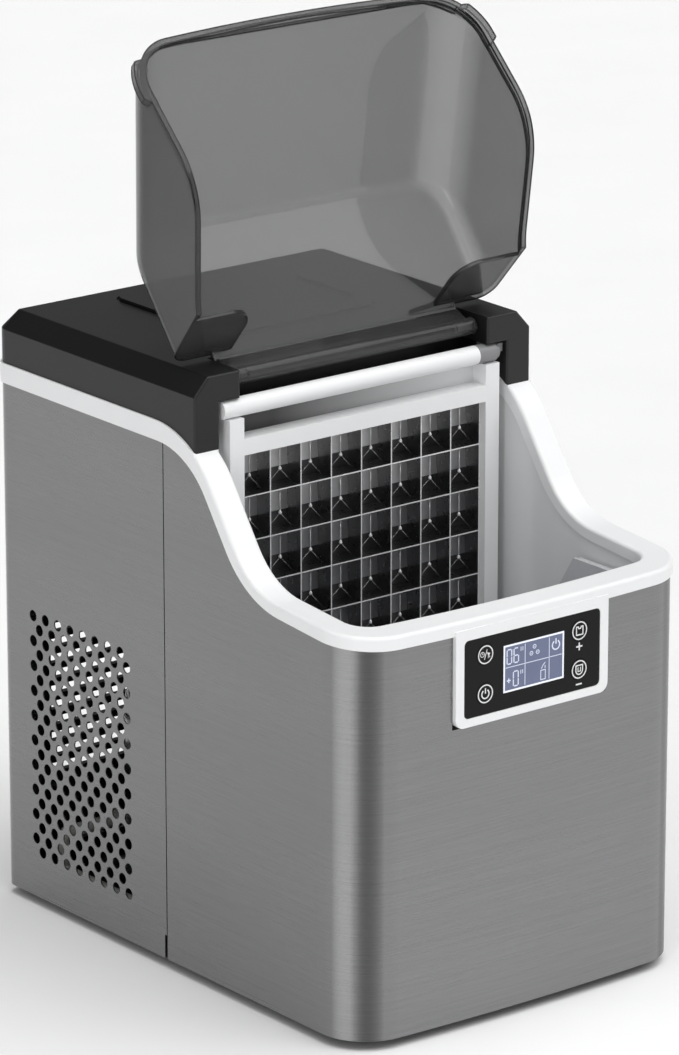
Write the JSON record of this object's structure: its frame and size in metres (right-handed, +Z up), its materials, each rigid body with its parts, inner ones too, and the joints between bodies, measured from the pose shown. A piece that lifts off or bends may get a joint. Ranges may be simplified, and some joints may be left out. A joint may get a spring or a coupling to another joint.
{
  "type": "countertop ice maker",
  "caption": "Countertop clear-ice maker with brushed steel sides, an S-shaped white rim, a smoked hinged lid over the ice bin and a front control panel.",
  "frame": {"origin": "centre of the footprint, on the surface the four feet stand on, with the lid open", "axes": "+Z up, the control panel faces -Y, +X is on the right of someone who faces the panel"},
  "size_m": [0.2592, 0.3532, 0.5554],
  "materials": {
    "steel": "brushed, horizontal grain",
    "black_plastic": "satin",
    "rubber": "matt",
    "white_plastic": "semi-gloss",
    "gloss_black": "gloss",
    "display": "lit",
    "board": "satin",
    "zinc": "zinc plated",
    "grey_plastic": "semi-gloss",
    "foam": "closed-cell foam",
    "hose": "translucent silicone",
    "grey_cap": "satin",
    "plated": "nickel plated",
    "copper": "bare copper tube",
    "brass": "satin",
    "smoke": "smoked transparent plastic",
    "compressor_black": "black paint",
    "aluminium": "mill finish fins"
  },
  "bodies": {
    "cabinet": {"base_pan": "black_plastic", "bin_liner": "grey_plastic", "capillary": "copper", "collar": "white_plastic", "compressor": "compressor_black", "compressor_grommets": "rubber", "condenser": "aluminium", "control_board": "board", "control_tray": "black_plastic", "cord_gland": "black_plastic", "discharge_line": "copper", "display": "display", "drain_hose": "hose", "drain_spout": "black_plastic", "evaporator_coil": "copper", "evaporator_frame": "white_plastic", "evaporator_grid": "plated", "fan_motor": "zinc", "fan_shroud": "black_plastic", "filter_drier": "copper", "foot_front_left": "rubber", "foot_front_right": "rubber", "foot_rear_left": "rubber", "foot_rear_right": "rubber", "front_wrap": "steel", "hinge_pin_left": "zinc", "hinge_pin_right": "zinc", "hot_gas_lines": "copper", "hot_gas_valve": "brass", "ice_ramp": "white_plastic", "insulation": "foam", "level_probe": "grey_plastic", "liquid_line": "copper", "panel_board": "board", "panel_glass": "gloss_black", "panel_screws": "zinc", "pump": "black_plastic", "pump_hose": "hose", "rear_panel": "black_plastic", "rear_screws": "zinc", "rear_wrap": "steel", "spray_cap": "grey_cap", "spray_tube": "white_plastic", "suction_line": "copper", "terminal_cover": "black_plastic", "top_cover": "black_plastic", "top_plate": "black_plastic", "water_tank": "grey_plastic"},
    "lid_body": {"lid": "smoke"},
    "button_timer_body": {"button_timer": "gloss_black"},
    "button_power_body": {"button_power": "gloss_black"},
    "button_plus_body": {"button_plus": "gloss_black"},
    "button_minus_body": {"button_minus": "gloss_black"},
    "ice_basket_body": {"ice_basket": "grey_plastic"},
    "fan_blades_body": {"fan_blades": "black_plastic"},
    "drain_plug_body": {"drain_plug": "rubber"}
  },
  "joints": [
    {"name": "lid_hinge", "type": "hinge", "parent": "cabinet", "child": "lid_body", "pos_m": [0, -0.01, 0.3625], "axis": [1, 0, 0], "range_deg": [0, 140]},
    {"name": "button_timer_press", "type": "slide", "parent": "cabinet", "child": "button_timer_body", "axis": [0, 1, 0], "range_m": [0, 0.0004], "stiffness_N_per_m": 1500, "springref_m": -0.0004},
    {"name": "button_power_press", "type": "slide", "parent": "cabinet", "child": "button_power_body", "axis": [0, 1, 0], "range_m": [0, 0.0004], "stiffness_N_per_m": 1500, "springref_m": -0.0004},
    {"name": "button_plus_press", "type": "slide", "parent": "cabinet", "child": "button_plus_body", "axis": [0, 1, 0], "range_m": [0, 0.0004], "stiffness_N_per_m": 1500, "springref_m": -0.0004},
    {"name": "button_minus_press", "type": "slide", "parent": "cabinet", "child": "button_minus_body", "axis": [0, 1, 0], "range_m": [0, 0.0004], "stiffness_N_per_m": 1500, "springref_m": -0.0004},
    {"name": "ice_basket_lift", "type": "slide", "parent": "cabinet", "child": "ice_basket_body", "axis": [0, 0, 1], "range_m": [0, 0.035]},
    {"name": "fan_spin", "type": "hinge", "parent": "cabinet", "child": "fan_blades_body", "pos_m": [0.084, 0.095, 0.1], "axis": [1, 0, 0], "continuous": true},
    {"name": "drain_plug_pull", "type": "slide", "parent": "cabinet", "child": "drain_plug_body", "axis": [0, 1, 0], "range_m": [0, 0.012]}
  ]
}
